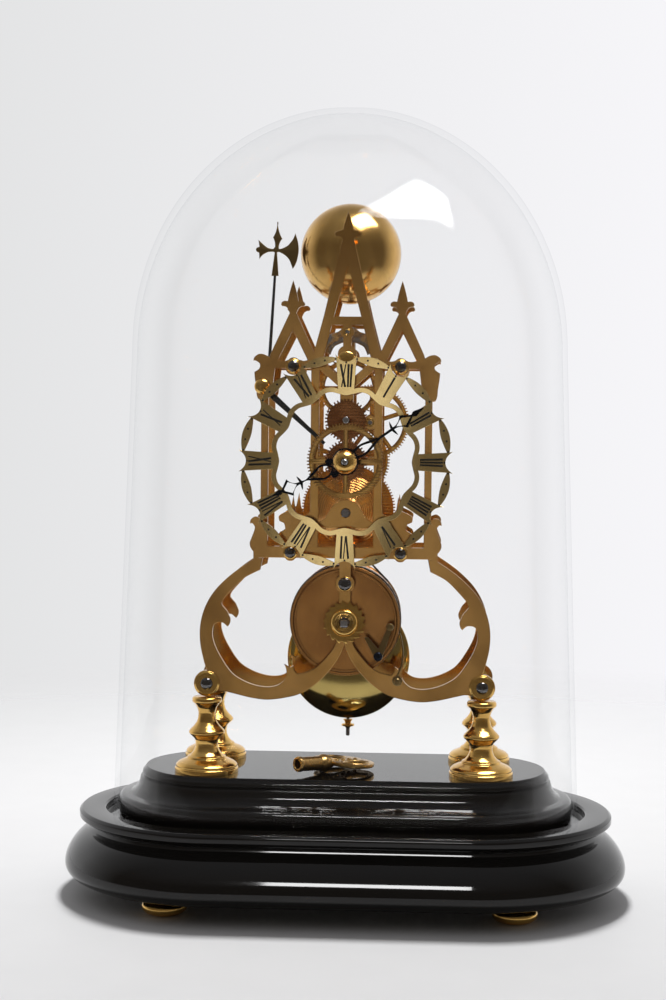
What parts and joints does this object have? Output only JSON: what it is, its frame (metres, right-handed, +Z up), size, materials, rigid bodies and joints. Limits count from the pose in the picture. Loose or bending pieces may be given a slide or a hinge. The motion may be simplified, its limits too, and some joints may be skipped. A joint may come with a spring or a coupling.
{
  "type": "skeleton clock",
  "caption": "Skeleton clock with pierced gothic brass plates, fusee movement, pendulum and passing-strike bell, on a moulded ebonised oval base under a glass dome.",
  "frame": {"origin": "on the table, under the middle of the base", "axes": "+Z up, +X to the right of the dial seen from the front, +Y away from the viewer"},
  "size_m": [0.3546, 0.1976, 0.4937],
  "materials": {
    "brass": "polished and lacquered, warm gold",
    "pale_brass": "silver-washed pale brass, satin",
    "red_brass": "turned brass, warm and reddish",
    "steel": "polished steel",
    "spring_steel": "dark tempered steel",
    "blued_steel": "heat-blued, nearly black",
    "ebonised_wood": "black, french polished to a high gloss",
    "glass": "clear blown glass"
  },
  "bodies": {
    "frame": {"base_moulding": "ebonised_wood", "platform_step": "ebonised_wood", "bun_foot_front_left": "brass", "bun_foot_front_right": "brass", "bun_foot_rear_left": "brass", "bun_foot_rear_right": "brass", "pillar_foot_front_left": "brass", "pillar_foot_front_right": "brass", "pillar_foot_rear_left": "brass", "pillar_foot_rear_right": "brass", "front_plate": "brass", "rear_plate": "brass", "plate_pillar_upper_left": "brass", "plate_pillar_upper_right": "brass", "plate_pillar_middle_left": "brass", "plate_pillar_middle_right": "brass", "plate_pillar_lower_left": "brass", "plate_pillar_lower_right": "brass", "lug_screw_left": "blued_steel", "lug_screw_right": "blued_steel", "cornice_screw_left": "blued_steel", "cornice_screw_right": "blued_steel", "dial": "pale_brass", "barrel_arbor": "steel", "setup_ratchet": "brass", "click_screw": "blued_steel", "click_spring": "steel", "fusee_chain": "spring_steel", "minute_stud": "steel", "bell": "brass", "bell_stand": "steel", "suspension_cock": "brass"},
    "barrel": {"barrel_drum": "brass", "barrel_cover": "red_brass", "mainspring": "spring_steel"},
    "fusee": {"fusee_cone": "red_brass", "great_wheel": "brass", "fusee_arbor": "steel"},
    "centre": {"centre_wheel": "brass", "centre_arbor": "steel", "cannon_wheel": "brass", "minute_hand": "blued_steel", "hand_collet": "brass"},
    "third": {"third_wheel": "brass", "third_arbor": "steel"},
    "escape": {"escape_wheel": "brass", "escape_arbor": "steel"},
    "minute": {"minute_wheel": "brass"},
    "hour": {"hour_wheel": "brass", "hour_hand": "blued_steel"},
    "pallets": {"pallet_anchor": "steel"},
    "pendulum": {"pendulum_rod": "steel", "pendulum_bob": "brass"},
    "nut": {"rating_nut": "brass"},
    "hammer": {"hammer_lever": "blued_steel", "halberd_head": "blued_steel"},
    "click": {"ratchet_click": "blued_steel"},
    "dome": {"glass_dome": "glass"},
    "key": {"winding_key": "brass"}
  },
  "joints": [
    {"name": "centre_turn", "type": "hinge", "parent": "frame", "child": "centre", "pos_m": [0, 0, 0.2738], "axis": [0, 1, 0], "continuous": true},
    {"name": "fusee_turn", "type": "hinge", "parent": "frame", "child": "fusee", "pos_m": [0, 0, 0.2419], "axis": [0, 1, 0], "continuous": true},
    {"name": "barrel_turn", "type": "hinge", "parent": "frame", "child": "barrel", "pos_m": [0, 0, 0.1743], "axis": [0, 1, 0], "continuous": true},
    {"name": "third_turn", "type": "hinge", "parent": "frame", "child": "third", "pos_m": [0.0145, 0, 0.2978], "axis": [0, 1, 0], "continuous": true},
    {"name": "escape_turn", "type": "hinge", "parent": "frame", "child": "escape", "pos_m": [0, 0, 0.3192], "axis": [0, 1, 0], "continuous": true},
    {"name": "minute_wheel_turn", "type": "hinge", "parent": "frame", "child": "minute", "pos_m": [0, 0, 0.2991], "axis": [0, 1, 0], "continuous": true},
    {"name": "hour_turn", "type": "hinge", "parent": "frame", "child": "hour", "pos_m": [0, 0, 0.2738], "axis": [0, 1, 0], "continuous": true},
    {"name": "pendulum_swing", "type": "hinge", "parent": "frame", "child": "pendulum", "pos_m": [0, 0, 0.3532], "axis": [0, 1, 0], "range_deg": [-3, 3]},
    {"name": "pallet_rock", "type": "hinge", "parent": "frame", "child": "pallets", "pos_m": [0, 0, 0.3532], "axis": [0, 1, 0], "range_deg": [-3, 3]},
    {"name": "nut_turn", "type": "hinge", "parent": "pendulum", "child": "nut", "pos_m": [0, 0.036, 0.1], "axis": [0, 0, 1], "continuous": true},
    {"name": "hammer_swing", "type": "hinge", "parent": "frame", "child": "hammer", "pos_m": [-0.052, 0, 0.3194], "axis": [0, -1, 0], "range_deg": [0, 12]},
    {"name": "click_lift", "type": "hinge", "parent": "frame", "child": "click", "pos_m": [0.021, 0, 0.1536], "axis": [0, 1, 0], "range_deg": [0, 8]},
    {"name": "dome_lift", "type": "slide", "parent": "frame", "child": "dome", "axis": [0, 0, 1], "range_m": [0, 0.5]},
    {"name": "key_lift", "type": "slide", "parent": "frame", "child": "key", "axis": [0, 0, 1], "range_m": [0, 0.03]}
  ],
  "couplings": [
    {"joint": "fusee_turn", "follows": "centre_turn", "ratio": -0.083333},
    {"joint": "barrel_turn", "follows": "centre_turn", "ratio": 0.020833},
    {"joint": "third_turn", "follows": "centre_turn", "ratio": -10},
    {"joint": "escape_turn", "follows": "centre_turn", "ratio": 97.5},
    {"joint": "minute_wheel_turn", "follows": "centre_turn", "ratio": -1},
    {"joint": "hour_turn", "follows": "centre_turn", "ratio": 0.083333},
    {"joint": "pallet_rock", "follows": "pendulum_swing", "ratio": 1}
  ]
}
